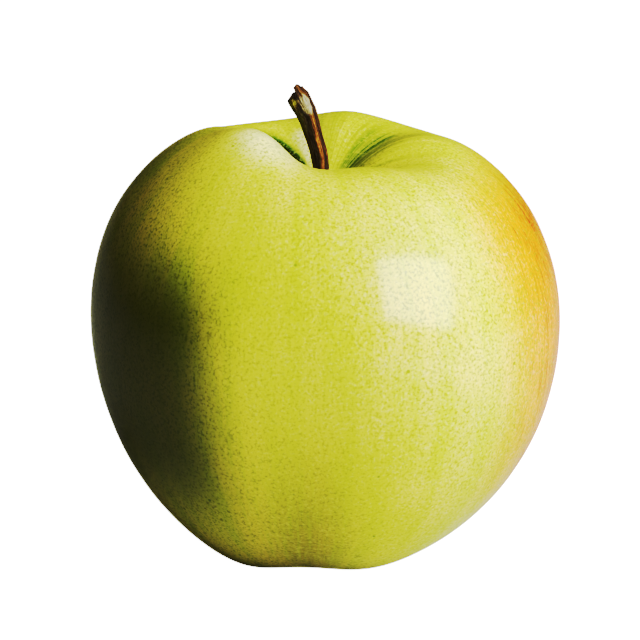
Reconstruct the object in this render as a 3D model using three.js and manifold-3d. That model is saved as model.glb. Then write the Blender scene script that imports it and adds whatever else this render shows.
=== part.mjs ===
// An apple with its stalk and the dried calyx in its eye. Millimetres, +Z up.
// It stands on the lobes round its eye. The origin is on the surface that it stands on, under the middle
// of the fruit. -Y is the side that is seen first, and +X is the side with the blush.

import * as THREE from "three";
import { mergeVertices } from "three/addons/utils/BufferGeometryUtils.js";
import Module from "manifold-3d";

// The outline of the fruit, before ribs: sums of sine and cosine terms of the angle from the stalk.
const WAIST_RADIUS = 38.0;
const SHOULDER_FULLNESS = 3.3; // how much wider the fruit is above the waist than below it
const FLANK_ROUNDNESS = 1.3;
const HALF_HEIGHT = 38.4;
const END_LIFT = 3.3; // both ends sit this much higher against the waist
const END_POINT = 0.6;
const TOP_SHIFT = -1.6; // the stalk and the eye sit a little to the left of the middle

// The cavity round the stalk: a wide bowl with a narrow throat in its middle.
const CAVITY_DEPTH = 13.0;
const CAVITY_RADIUS = 18.1;
const CAVITY_POWER = 2.1;
const THROAT_DEPTH = 4.0;
const THROAT_RADIUS = 5.5;

// One furrow of the cavity's wall is deeper than the rest. It runs down behind the highest lobe.
const FURROW_DEPTH = 3.6;
const FURROW_RADIUS = 9.0; // where it is deepest
const FURROW_ANGLE = 138.4;
const FURROW_SHARPNESS = 10;

// The basin round the eye, under the fruit.
const BASIN_DEPTH = 9.0;
const BASIN_RADIUS = 9.0;
const BASIN_POWER = 1.8;

// Five ribs run from the shoulder to the foot. Angles are in degrees from +X, heights in millimetres:
// how far each one lifts the shoulder and how narrow it is there, and how far it swells the waist and
// lowers the foot.
const RIBS = [
  { angle: 10.2, shoulder: 4.0, sharpness: 8.3, waist: 0.3, foot: 1.7 },
  { angle: 71.8, shoulder: 4.0, sharpness: 8.3, waist: 1.05, foot: 1.7 },
  { angle: 165.1, shoulder: 1.6, sharpness: 8.3, waist: 1.5, foot: 1.7 },
  { angle: 219.9, shoulder: 4.6, sharpness: 6.2, waist: 0.75, foot: 1.8 },
  { angle: 301.3, shoulder: 2.1, sharpness: 8.3, waist: 0.85, foot: 1.1 },
];
const RIB_SHARPNESS = 8.3; // at the waist and the foot
const RIB_UPWARD_SWELL = 0.3; // a rib is this share prouder above the waist, and as much weaker below it
const SHOULDER_RING_RADIUS = 12.7; // where the ribs lift the shoulder most
const FOOT_RING_RADIUS = 14.0; // where they lower the foot most
const HIGH_SIDE_LIFT = 2.3; // the shoulder ring is tilted, and highest on this side
const HIGH_SIDE_ANGLE = 180.5;
const RIB_FADE = 0.6; // cosine of the angle from the stalk past which the shoulder and foot terms are full
const REST_LEVEL = -33.7; // height, from the waist, at which the lobes of the foot are pressed flat

// A shallow valley runs down the front of the flank, between two ribs. It is deeper below the waist.
const VALLEY_DEPTH = 0.9;
const VALLEY_ANGLE = 263;
const VALLEY_SHARPNESS = 28;
const VALLEY_DEEPENING = 0.5; // by this share at the eye, and as much shallower at the stalk

// The stalk, as sections up its length from the floor of the cavity: height, shift to the side and half
// of its width. It leans left and flares to a knob. Past the knob it is broken off on a slope.
const STALK_SECTIONS = [
  { height: -1.7, shift: 0.1, half: 1.25 },
  { height: 0.0, shift: 0.15, half: 1.36 },
  { height: 1.65, shift: 0.2, half: 1.28 },
  { height: 5.1, shift: 0.3, half: 1.25 },
  { height: 7.5, shift: 0.0, half: 1.34 },
  { height: 10.3, shift: -0.8, half: 1.38 },
  { height: 12.95, shift: -1.68, half: 1.52 },
  { height: 14.4, shift: -2.33, half: 1.7 },
  { height: 15.8, shift: -3.05, half: 1.82 },
  { height: 17.4, shift: -3.88, half: 1.3 },
  { height: 19.0, shift: -4.71, half: 1.15 },
];
const STALK_BREAK_LOW = { shift: -4.95, height: 15.6 }; // the low, left edge of the break
const STALK_BREAK_SLOPE = 59; // degrees from level, rising to the right
const STALK_FLATNESS = 0.86; // its depth as a share of its width
const STALK_STEPS = 3; // steps from one section to the next
const STALK_SIDES = 20;
const STALK_RIDGES = 5; // ridges of the shrunken bark
const STALK_RIDGE_SHARE = 0.05; // of the radius
const STALK_RIDGE_TWIST = 0.9; // turn of the ridges over the whole length, in radians
const STALK_GAP = 0.3; // between the stalk and its socket
const SOCKET_SIDES = 24;

// The calyx: five dried sepals on a short plug that fills the eye.
const SEPAL_COUNT = 5;
const SEPAL_LENGTH = 5.4;
const SEPAL_WIDTH = 2.7;
const SEPAL_THICKNESS = 0.65;
const SEPAL_ROOT_RADIUS = 1.9;
const SEPAL_LEAN_IN = 0.9; // how far the middle of a sepal leans towards the axis
const SEPAL_CURL_OUT = 2.3; // how far its tip curls away again
const SEPAL_LEAN_SPAN = 1.4; // the lean is back to nothing at one over this share of the length
const SEPAL_SHORTENING = 0.12; // share of the length that the curl takes up
const SEPAL_TAPER = 0.7;
const SEPAL_TIP_HALF = 0.15; // half of its width at the blunt tip
const SEPAL_END_CAP = 0.2; // how far a point closes each end
const SEPAL_STEPS = 8;
const EYE_RADIUS = 2.3;
const EYE_HEIGHT = 2.0;
const EYE_CUP_DEPTH = 0.9;
const EYE_RIM = 0.7;
const EYE_SIDES = 30;
const EYE_GAP = 0.3; // between the plug and its socket
const EYE_SINK = 1.2; // how deep the plug is sunk in the floor of the basin

// How finely the fruit is divided: rows from stalk to eye, crowded towards both ends, and columns round.
const ROWS = 56;
const COLUMNS = 72;
const ROW_CROWDING = 0.6;
const WELD = 1e-5; // points closer than this are one point

const radians = THREE.MathUtils.degToRad;
const wasm = await Module();
wasm.setup();

// A geometry as a solid that can be cut and joined, and the way back.
function solidOf(geometry) {
  const bare = geometry.clone();
  bare.deleteAttribute("normal");
  bare.deleteAttribute("uv");
  const merged = mergeVertices(bare, WELD);
  return new wasm.Manifold(
    new wasm.Mesh({
      numProp: 3,
      vertProperties: new Float32Array(merged.attributes.position.array),
      triVerts: new Uint32Array(merged.index.array),
    }),
  );
}

function geometryOf(solid) {
  const mesh = solid.getMesh();
  const geometry = new THREE.BufferGeometry();
  geometry.setAttribute("position", new THREE.BufferAttribute(mesh.vertProperties, 3));
  geometry.setIndex(new THREE.BufferAttribute(mesh.triVerts, 1));
  return geometry;
}

// A closed skin over rings of points, each ring running anticlockwise seen from above the first ring's
// side, with one point at each end.
function skin(first, rings, last) {
  const sides = rings[0].length;
  const points = [first, ...rings.flat(), last];
  const end = points.length - 1;
  const faces = [];
  for (let side = 0; side < sides; side++) {
    const next = (side + 1) % sides;
    faces.push(0, 1 + side, 1 + next);
    for (let ring = 0; ring + 1 < rings.length; ring++) {
      const upper = 1 + ring * sides;
      const lower = upper + sides;
      faces.push(upper + side, lower + side, lower + next);
      faces.push(upper + side, lower + next, upper + next);
    }
    faces.push(end, end - sides + next, end - sides + side);
  }
  const geometry = new THREE.BufferGeometry();
  geometry.setFromPoints(points);
  geometry.setIndex(faces);
  return geometry;
}

// How far, from 0 to 1, the angle from the stalk (given as its cosine) is into one end of the fruit.
function fade(cosine) {
  return THREE.MathUtils.smoothstep(cosine, 0, RIB_FADE);
}

// One amount of all five ribs at an angle round the axis.
function ribs(amount, round) {
  let sum = 0;
  for (const rib of RIBS) {
    const sharpness = amount === "shoulder" ? rib.sharpness : RIB_SHARPNESS;
    sum += rib[amount] * lobe(round, rib.angle, sharpness);
  }
  return sum;
}

// A hump of height 1 at one angle round the axis, given in degrees, which fades on both sides of it.
function lobe(round, angle, sharpness) {
  return Math.exp(sharpness * (Math.cos(round - radians(angle)) - 1));
}

// A hump of height 1 at a ring of the given radius, which fades on both sides of it.
function ring(radius, ringRadius) {
  const ratio = (radius / ringRadius) ** 2;
  return ratio * Math.exp(1 - ratio);
}

// The point of the fruit's skin at an angle from the stalk and an angle round the axis.
function skinPoint(fromStalk, round) {
  const sine = Math.sin(fromStalk);
  const cosine = Math.cos(fromStalk);
  const radius =
    WAIST_RADIUS * sine +
    SHOULDER_FULLNESS * Math.sin(2 * fromStalk) +
    FLANK_ROUNDNESS * Math.sin(3 * fromStalk);
  let height =
    HALF_HEIGHT * cosine + END_LIFT * Math.cos(2 * fromStalk) + END_POINT * Math.cos(3 * fromStalk);

  const lift = ribs("shoulder", round) + HIGH_SIDE_LIFT * Math.cos(round - radians(HIGH_SIDE_ANGLE));
  const bowl = CAVITY_DEPTH * Math.exp(-((radius / CAVITY_RADIUS) ** CAVITY_POWER));
  const throat = THROAT_DEPTH * Math.exp(-((radius / THROAT_RADIUS) ** 2));
  const furrow =
    FURROW_DEPTH * lobe(round, FURROW_ANGLE, FURROW_SHARPNESS) * ring(radius, FURROW_RADIUS);
  height += fade(cosine) * (ring(radius, SHOULDER_RING_RADIUS) * lift - furrow - bowl - throat);

  const basin = BASIN_DEPTH * Math.exp(-((radius / BASIN_RADIUS) ** BASIN_POWER));
  height -= fade(-cosine) * (ring(radius, FOOT_RING_RADIUS) * ribs("foot", round) - basin);
  height = Math.max(height, REST_LEVEL);

  const swell = ribs("waist", round) * (1 + RIB_UPWARD_SWELL * cosine);
  const valley = lobe(round, VALLEY_ANGLE, VALLEY_SHARPNESS) * (1 - VALLEY_DEEPENING * cosine);
  const out = radius + (swell - VALLEY_DEPTH * valley) * sine ** 2;
  return new THREE.Vector3(
    out * Math.cos(round) + TOP_SHIFT * cosine ** 2,
    out * Math.sin(round),
    height,
  );
}

// The skin's floor at the stalk and its roof at the eye, on the axis.
const cavityFloor = skinPoint(0, 0);
const basinRoof = skinPoint(Math.PI, 0);

function fruitSkin() {
  const rows = [];
  for (let row = 1; row < ROWS; row++) {
    const share = row / ROWS;
    const crowded = share - (ROW_CROWDING * Math.sin(2 * Math.PI * share)) / (2 * Math.PI);
    const around = [];
    for (let column = 0; column < COLUMNS; column++) {
      around.push(skinPoint(Math.PI * crowded, (2 * Math.PI * column) / COLUMNS));
    }
    rows.push(around);
  }
  return skin(cavityFloor, rows, basinRoof);
}

// The stalk's centre line and half widths, drawn smoothly through its sections, from the tip down.
function stalkSkin(extra) {
  const line = new THREE.CatmullRomCurve3(
    STALK_SECTIONS.map((s) => new THREE.Vector3(s.shift, s.half, s.height)),
    false,
    "centripetal",
  );
  const steps = (STALK_SECTIONS.length - 1) * STALK_STEPS;
  const rings = [];
  for (let step = steps; step >= 0; step--) {
    const at = line.getPoint(step / steps);
    const tangent = line.getTangent(step / steps);
    const tilt = Math.atan2(tangent.x, tangent.z);
    const around = [];
    for (let side = 0; side < STALK_SIDES; side++) {
      const angle = (2 * Math.PI * side) / STALK_SIDES;
      const ridge = Math.cos(STALK_RIDGES * angle + (STALK_RIDGE_TWIST * step) / steps);
      const half = at.y * (1 + STALK_RIDGE_SHARE * ridge) + extra;
      const across = half * Math.cos(angle);
      around.push(
        new THREE.Vector3(
          at.x + across * Math.cos(tilt),
          STALK_FLATNESS * half * Math.sin(angle),
          at.z - across * Math.sin(tilt),
        ),
      );
    }
    rings.push(around);
  }
  const tip = line.getPoint(1);
  const foot = line.getPoint(0);
  return skin(
    new THREE.Vector3(tip.x, 0, tip.z + tip.y / 2 + extra),
    rings,
    new THREE.Vector3(foot.x, 0, foot.z - extra),
  );
}

// The stalk cut off by the slope of its break.
function stalkGeometry() {
  const slope = radians(STALK_BREAK_SLOPE);
  const kept = new THREE.Vector3(Math.sin(slope), 0, -Math.cos(slope));
  const offset = kept.x * STALK_BREAK_LOW.shift + kept.z * STALK_BREAK_LOW.height;
  return geometryOf(solidOf(stalkSkin(0)).trimByPlane(kept.toArray(), offset));
}

// The plug in the eye: a short round piece with a shallow cup in its lower end.
function eyePlug(extra) {
  const outer = EYE_RADIUS + extra;
  const top = EYE_SINK + extra;
  const profile = extra
    ? [
        [0, top - EYE_HEIGHT - 2 * extra],
        [outer, top - EYE_HEIGHT - 2 * extra],
        [outer, top],
        [0, top],
      ]
    : [
        [0, top - EYE_HEIGHT + EYE_CUP_DEPTH],
        [outer - EYE_RIM, top - EYE_HEIGHT],
        [outer, top - EYE_HEIGHT],
        [outer, top],
        [0, top],
      ];
  const geometry = new THREE.LatheGeometry(
    profile.map(([x, y]) => new THREE.Vector2(x, y)),
    EYE_SIDES,
  );
  return geometry.rotateX(Math.PI / 2);
}

// One sepal: a pointed blade that starts in the plug, leans in and curls out again, seen from the axis
// along +X. Each ring is the blade's section, four points round.
function sepal() {
  const rings = [];
  for (let step = 0; step <= SEPAL_STEPS; step++) {
    const share = step / SEPAL_STEPS;
    const lean = -SEPAL_LEAN_IN * Math.sin(Math.PI * Math.min(1, SEPAL_LEAN_SPAN * share));
    const radius = SEPAL_ROOT_RADIUS + lean + SEPAL_CURL_OUT * share ** 3;
    const height = -SEPAL_LENGTH * share * (1 - SEPAL_SHORTENING * share ** 3);
    const half = (SEPAL_WIDTH / 2) * (1 - share) ** SEPAL_TAPER + SEPAL_TIP_HALF;
    const inner = radius - SEPAL_THICKNESS / 2;
    const outer = radius + SEPAL_THICKNESS / 2;
    rings.push([
      new THREE.Vector3(inner, -half, height),
      new THREE.Vector3(outer, -half, height),
      new THREE.Vector3(outer, half, height),
      new THREE.Vector3(inner, half, height),
    ]);
  }
  const root = new THREE.Vector3(SEPAL_ROOT_RADIUS, 0, SEPAL_END_CAP);
  const tip = rings[SEPAL_STEPS][0].clone().lerp(rings[SEPAL_STEPS][2], 0.5);
  tip.z -= SEPAL_END_CAP;
  return skin(root, rings, tip);
}

function fruitGeometry() {
  const stalkSocket = stalkSkin(STALK_GAP);
  stalkSocket.translate(cavityFloor.x, cavityFloor.y, cavityFloor.z);
  const eyeSocket = eyePlug(EYE_GAP);
  eyeSocket.translate(basinRoof.x, basinRoof.y, basinRoof.z);
  return geometryOf(solidOf(fruitSkin()).subtract(solidOf(stalkSocket)).subtract(solidOf(eyeSocket)));
}

function calyxGeometry() {
  let whole = solidOf(eyePlug(0));
  for (let turn = 0; turn < SEPAL_COUNT; turn++) {
    const blade = sepal();
    blade.rotateZ((2 * Math.PI * turn) / SEPAL_COUNT);
    whole = whole.add(solidOf(blade));
  }
  return geometryOf(whole);
}

function piece(name, geometry, colour, roughness) {
  const material = new THREE.MeshStandardMaterial({ color: colour, roughness, metalness: 0 });
  geometry.computeVertexNormals();
  const mesh = new THREE.Mesh(geometry, material);
  mesh.name = name;
  return mesh;
}

const fruit = piece("fruit", fruitGeometry(), "#c7c341", 0.4);
const stem = piece("stem", stalkGeometry(), "#5a3d22", 0.8);
stem.position.copy(cavityFloor);
const calyx = piece("calyx", calyxGeometry(), "#5d4a2e", 0.85);
calyx.position.copy(basinRoof);

const apple = new THREE.Group();
apple.add(fruit, stem, calyx);

// The origin goes under the middle of the fruit, on the surface that the lobes of its foot rest on.
const bounds = new THREE.Box3().setFromObject(fruit);
const middle = bounds.getCenter(new THREE.Vector3());
apple.position.set(-middle.x, -middle.y, -bounds.min.z);

export default apple;
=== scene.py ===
# An apple with its stalk and the dried calyx in its eye, laid out as an add-on and run as a script.
# Metres, +Z up. The origin is on the floor under the middle of the fruit, -Y is the side that is seen first
# and +X is the side with the blush.

import math

import bmesh
import bpy
import numpy as np
from bpy.props import FloatProperty, FloatVectorProperty, PointerProperty
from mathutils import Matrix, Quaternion, Vector, noise


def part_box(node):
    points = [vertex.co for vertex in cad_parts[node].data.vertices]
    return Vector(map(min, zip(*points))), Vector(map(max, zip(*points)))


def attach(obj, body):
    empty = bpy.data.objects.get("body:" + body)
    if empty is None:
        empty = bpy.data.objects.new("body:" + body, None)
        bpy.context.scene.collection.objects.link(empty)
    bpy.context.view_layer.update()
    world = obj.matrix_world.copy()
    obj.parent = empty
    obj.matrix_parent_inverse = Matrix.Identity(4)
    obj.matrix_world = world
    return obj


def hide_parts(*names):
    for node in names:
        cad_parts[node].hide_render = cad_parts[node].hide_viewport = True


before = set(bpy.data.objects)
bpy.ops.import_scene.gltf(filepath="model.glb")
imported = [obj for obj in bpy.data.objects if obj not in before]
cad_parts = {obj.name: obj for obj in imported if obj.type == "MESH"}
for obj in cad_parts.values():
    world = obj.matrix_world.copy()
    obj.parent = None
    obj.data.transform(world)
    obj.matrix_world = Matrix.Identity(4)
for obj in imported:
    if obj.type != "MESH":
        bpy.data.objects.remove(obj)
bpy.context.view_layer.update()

bl_info = {
    "name": "Garden apple",
    "version": (1, 0, 0),
    "blender": (4, 5, 0),
    "location": "View3D > Sidebar > Apple",
    "description": "Makes a ribbed green and yellow apple, its stalk and its dried calyx",
    "category": "Object",
}

MM = 0.001
TURN = 2 * math.pi

# Where the axis of the fruit at its waist stands in the part, and where the skin crosses it at both ends.
AXIS_X = 0.56 * MM
AXIS_Y = -0.4372 * MM
WAIST_LEVEL = 33.7 * MM
CAVITY_FLOOR = 25.3 * MM
BASIN_ROOF = -26.7 * MM
ENDS_X = -1.6 * MM

# Five ribs run from the shoulder to the foot. Angles are in degrees from +X, the rest is in millimetres:
# how far each one lifts the shoulder and how narrow it is there, and how far it swells the waist and lowers
# the foot.
RIBS = [
    {"angle": 10.2, "shoulder": 4.0, "sharpness": 8.3, "waist": 0.3, "foot": 1.7},
    {"angle": 71.8, "shoulder": 4.0, "sharpness": 8.3, "waist": 1.05, "foot": 1.7},
    {"angle": 165.1, "shoulder": 1.6, "sharpness": 8.3, "waist": 1.5, "foot": 1.7},
    {"angle": 219.9, "shoulder": 4.6, "sharpness": 6.2, "waist": 0.75, "foot": 1.8},
    {"angle": 301.3, "shoulder": 2.1, "sharpness": 8.3, "waist": 0.85, "foot": 1.1},
]

# Patches of painted light and shade round the cavity: painted shade on the trough right of the stalk, and
# painted light on the lit face of the highest lobe and on a lit facet of the wall. For each, the angle that
# it is at and its spread, in degrees, then the distances from the axis, in millimetres, where it begins, is
# full, starts to fade and is gone.
SKIN_PATCHES = {
    "trough_shade": (40, 19, 4.0, 7.0, 12.5, 20.0),
    "lobe_light": (234, 22, 6.0, 10.0, 15.0, 23.0),
    "wall_light": (103, 8, 4.0, 7.5, 11.5, 15.0),
}
# The painted shadow in the furrow behind the highest lobe, where the cavity lies in shade. It bends as it
# runs out: its near edge is at this angle on the axis, in degrees, and turns by so many degrees for each
# millimetre out.
SHADOW_EDGE_START = 99.0
SHADOW_EDGE_TURN = 1.65
SHADOW_EDGE_SOFTNESS = 8.0  # degrees on each side of that edge
SHADOW_FADE = (35.0, 60.0)  # degrees past the edge at which it starts to fade and is gone
SHADOW_REACH = (3.5, 6.0, 12.0, 19.0)  # millimetres from the axis, as for the patches
# The brownish band of painted shade in the valley down the front: its angle in degrees, and how narrow it is.
VALLEY_SHADE_ANGLE = 264
VALLEY_SHADE_SHARPNESS = 24
SKIN_COLUMNS = 360
SKIN_ROWS = 224
ROW_CROWDING = 0.6  # rows are closer together at both ends of the fruit

# The stalk, as sections up its length from the floor of the cavity, in millimetres: height, shift to the
# side and half of its width. Its broken end is given apart.
STALK_SECTIONS = [
    (-1.7, 0.1, 1.22),
    (0.0, 0.15, 1.32),
    (1.65, 0.2, 1.25),
    (5.1, 0.3, 1.22),
    (7.5, 0.0, 1.3),
    (10.3, -0.8, 1.34),
    (13.2, -1.68, 1.5),
    (14.75, -2.35, 1.68),
    (16.2, -3.1, 1.78),
]
# Past the last section the stalk runs on straight. Half widths there, by the distance past it.
STALK_END_WIDTHS = [(0.0, 1.78), (0.65, 1.7), (1.26, 1.38), (2.1, 1.34), (2.6, 1.26)]
# The edge of the break, in millimetres: place across the stalk, left to right, and distance past the last
# section. It ends in a thin spike, whose tip is hooked to the left.
STALK_BREAK = [
    (-1.9, 0.45), (-1.75, 0.7), (-0.75, 1.4), (0.3, 1.3), (0.45, 1.6),
    (0.55, 2.15), (0.8, 2.33), (1.05, 2.42), (1.3, 2.1), (1.5, 1.7),
]
STALK_BREAK_REACH = 1.75  # half of the width over which the break is given
STALK_BREAK_JAG = 0.07
STALK_BREAK_TILT = 0.15  # the break is this much higher in front
STALK_HOOK = 0.22

STALK_FLATNESS = 0.86  # its depth as a share of its width
STALK_SIDES = 96
STALK_ROWS = 190
STALK_RIM_DEPTH = 3.0  # the last stretch, in millimetres, whose rings follow the edge of the break
STALK_STRAIGHT_SHARE = 0.74  # share of the rings below that stretch
STALK_END_RINGS = 10
STALK_END_SINK = 0.45  # how far the middle of the torn end is sunk, in millimetres
STALK_RIDGE_HEIGHTS = (0.15, 0.1, 0.13, 0.08, 0.12)  # millimetres, the first one in front
STALK_RIDGE_WIDTH = 0.3  # radians
STALK_FRONT_RIDGE = math.radians(-84)
STALK_TWIST = math.radians(26)  # turn of the ridges up the whole stalk

# The studio, in metres.
FRUIT_MIDDLE = (0.0, 0.0, 0.036)
CAMERA_AIM = (-0.000813, -0.0004372, 0.038526)
KEY_DIRECTION = (0.649, -0.616, 0.451)
KEY_COLOUR = (1.0, 0.985, 0.95)
KEY_ROLL = math.radians(-17)  # turns the softbox so that its reflection stands upright
FILL_DIRECTION = (0.7, -0.2, 0.68)
LEFT_DIRECTION = (-0.4, 0.05, 0.92)
# The light that reaches the camera against the light that the picture shows, both linear.
TONE_CURVE = [
    (0.0, 0.0), (0.05, 0.01), (0.1, 0.024), (0.14, 0.05), (0.18, 0.11),
    (0.24, 0.25), (0.3, 0.37), (0.36, 0.455), (0.45, 0.525), (0.56, 0.57),
    (0.7, 0.61), (0.85, 0.66), (1.05, 0.72), (1.5, 0.86), (2.0, 1.0),
]
TONE_WHITE = 2.0
FLOOR_HALF_WIDTH = 3.0
FLOOR_GAP = 0.02 * MM


def srgb(red, green, blue):
    """A display colour, 0 to 255 a channel, as the linear colour that shaders use."""
    made = []
    for level in (red, green, blue):
        share = level / 255
        made.append(share / 12.92 if share <= 0.04045 else ((share + 0.055) / 1.055) ** 2.4)
    return tuple(made)


def length(name, description, millimetres):
    """A length property, given in millimetres and kept in metres."""
    return FloatProperty(
        name=name,
        description=description,
        default=millimetres * MM,
        unit="LENGTH",
        subtype="DISTANCE",
        precision=5,
    )


def amount(name, description, value):
    """A property that is a plain number."""
    return FloatProperty(name=name, description=description, default=value, precision=3)


def colour(name, description, red, green, blue):
    """A colour property, given as a display colour."""
    return FloatVectorProperty(
        name=name,
        description=description,
        default=srgb(red, green, blue),
        subtype="COLOR",
        size=3,
        min=0,
        max=1,
    )


class FruitSizes(bpy.types.PropertyGroup):
    """The outline of the fruit, its cavity and its basin."""

    waist_radius: length("Waist radius", "Half of the width at the waist", 38.0)
    shoulder_fullness: length("Shoulder fullness", "How much wider it is above the waist than below", 3.3)
    flank_roundness: length("Flank roundness", "Third term of the outline", 1.3)
    half_height: length("Half height", "Half of the height before the hollows are sunk", 38.4)
    end_lift: length("End lift", "How much higher both ends sit against the waist", 3.3)
    end_point: length("End point", "Third term of the height", 0.6)
    top_shift: length("Top shift", "How far both ends sit to the side", -1.6)
    cavity_depth: length("Cavity depth", "Depth of the bowl round the stalk", 13.0)
    cavity_radius: length("Cavity radius", "Radius of that bowl", 18.1)
    cavity_power: amount("Cavity power", "How steep the wall of the bowl is", 2.1)
    throat_depth: length("Throat depth", "Depth of the narrow middle of the cavity", 4.0)
    throat_radius: length("Throat radius", "Radius of that narrow middle", 5.5)
    furrow_depth: length("Furrow depth", "Depth of the furrow behind the highest lobe", 3.6)
    furrow_radius: length("Furrow radius", "Where that furrow is deepest", 9.0)
    furrow_angle: amount("Furrow angle", "Direction of that furrow, in degrees", 138.4)
    furrow_sharpness: amount("Furrow sharpness", "How narrow that furrow is", 10.0)
    valley_depth: length("Valley depth", "Depth of the valley down the front of the flank", 0.9)
    valley_angle: amount("Valley angle", "Direction of that valley, in degrees", 263.0)
    valley_sharpness: amount("Valley sharpness", "How narrow that valley is", 28.0)
    basin_depth: length("Basin depth", "Depth of the hollow round the eye", 9.0)
    basin_radius: length("Basin radius", "Radius of that hollow", 9.0)
    basin_power: amount("Basin power", "How steep its wall is", 1.8)
    eye_depth: length("Eye depth", "Depth of the small tube that holds the calyx", 1.5)
    eye_radius: length("Eye radius", "Radius of that tube", 1.9)
    rib_sharpness: amount("Rib sharpness", "How narrow the ribs are at the waist and the foot", 8.3)
    rib_upward_swell: amount("Rib upward swell", "How much prouder a rib is above the waist", 0.3)
    shoulder_ring_radius: length("Shoulder ring radius", "Where the ribs lift the shoulder most", 12.7)
    foot_ring_radius: length("Foot ring radius", "Where the ribs lower the foot most", 14.0)
    high_side_lift: length("High side lift", "Tilt of the ring of shoulders", 2.3)
    high_side_angle: amount("High side angle", "Side on which that ring is highest, in degrees", 180.5)
    rib_fade: amount("Rib fade", "Cosine past which the shoulder and foot terms are full", 0.6)
    rest_level: length("Rest level", "Height at which the lobes of the foot are flat", -33.7)
    lump_depth: length("Lump depth", "Depth of the broad, shallow dents of the skin", 0.22)
    ripple_depth: length("Ripple depth", "Depth of the small dents of the skin", 0.05)


class SkinColours(bpy.types.PropertyGroup):
    """The colours of the skin."""

    yellow: colour("Yellow", "The ripe side", 208, 198, 104)
    green: colour("Green", "The greener streaks and drifts", 174, 184, 74)
    # Painted shade: a dark green laid on the left front side, where the key light falls off.
    painted_shade: colour("Shade", "The side that had no sun", 70, 78, 22)
    grain: colour("Grain", "The fine dark grain", 118, 128, 48)
    # Deep green is the real green of the cavity walls, and also the painted shade in the trough and the
    # furrow.
    deep_green_and_shade: colour("Deep green", "The troughs and streaks of the cavity", 66, 94, 20)
    shadow: colour("Shadow", "The bottom of the dark furrow", 24, 36, 10)
    # Cream is the pale grain, and the painted light on the lit lobe and the lit wall facet of the cavity.
    cream_and_light: colour("Cream", "The pale grain and the lips of the cavity", 240, 231, 168)
    dot: colour("Dot", "The small dots of the skin", 96, 120, 40)
    gold: colour("Gold", "The ground colour of the blush", 208, 98, 40)
    red: colour("Red", "The streaks of the blush", 178, 56, 28)
    # The valley colour is painted shade along the valley between two ribs.
    valley: colour("Valley", "The brownish band down the front", 112, 102, 40)
    russet: colour("Russet", "The rough brown skin at the foot of the stalk and round the eye", 150, 128, 62)


class StalkColours(bpy.types.PropertyGroup):
    """The colours of the stalk."""

    bark: colour("Bark", "The dark brown bark", 92, 72, 38)
    furrow: colour("Furrow", "The furrows of the bark", 54, 38, 22)
    ridge: colour("Ridge", "The worn ridges of the bark", 168, 124, 68)
    olive: colour("Olive", "The green left side", 104, 102, 44)
    # Ridge is the colour of the torn end, and of the painted highlight along the front crest and the right
    # rim.
    lichen: colour("Lichen", "The yellow-green patch on the knob", 162, 158, 72)
    # This grey patch is a painted highlight on the side of the stalk that faces the key light.
    grey_highlight: colour("Bleached", "The grey patch under the tip", 138, 132, 112)


class CalyxSizes(bpy.types.PropertyGroup):
    """The dried sepals and the threads in the eye."""

    sepal_length: length("Sepal length", "Length of a sepal", 5.3)
    sepal_width: length("Sepal width", "Width of a sepal at its root", 2.7)
    sepal_thickness: length("Sepal thickness", "Thickness of a sepal", 0.42)
    root_radius: length("Root radius", "Radius of the ring on which the sepals stand", 1.95)
    lean_in: length("Lean in", "How far the middle of a sepal leans towards the axis", 0.9)
    curl_out: length("Curl out", "How far its tip curls away again", 2.1)


class CalyxColours(bpy.types.PropertyGroup):
    """The colours of the calyx."""

    dry: colour("Dry", "The dried blade of a sepal", 104, 80, 46)
    dark: colour("Dark", "Its veins and folds", 48, 34, 20)
    down: colour("Down", "The pale down on it", 160, 148, 112)


class StudioSettings(bpy.types.PropertyGroup):
    """The camera, the floor and the light."""

    camera_distance: length("Camera distance", "From the camera to the point that it looks at", 600)
    camera_elevation: amount("Camera elevation", "Height of the camera, in degrees", 16.3)
    lens: amount("Lens", "Focal length in millimetres on a sensor 36 mm wide", 207.69)
    key_width: length("Key width", "Width of the softbox in front, which the skin mirrors", 410)
    key_height: length("Key height", "Height of that softbox", 345)
    key_watts: amount("Key power", "Power of the softbox in front, in watts", 5.2)
    fill_size: length("Fill size", "Side of the other two softboxes", 500)
    fill_watts: amount("Fill power", "Power of the softbox high on the right, in watts", 4.6)
    left_watts: amount("Left power", "Power of the softbox high on the left, in watts", 0.75)
    light_distance: length("Light distance", "From the softboxes to the fruit", 600)
    floor_bounce: amount("Floor bounce", "Share of the light that the floor sends back", 0.5)
    sky: amount("Sky", "Strength of the light from all round", 0.01)


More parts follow.
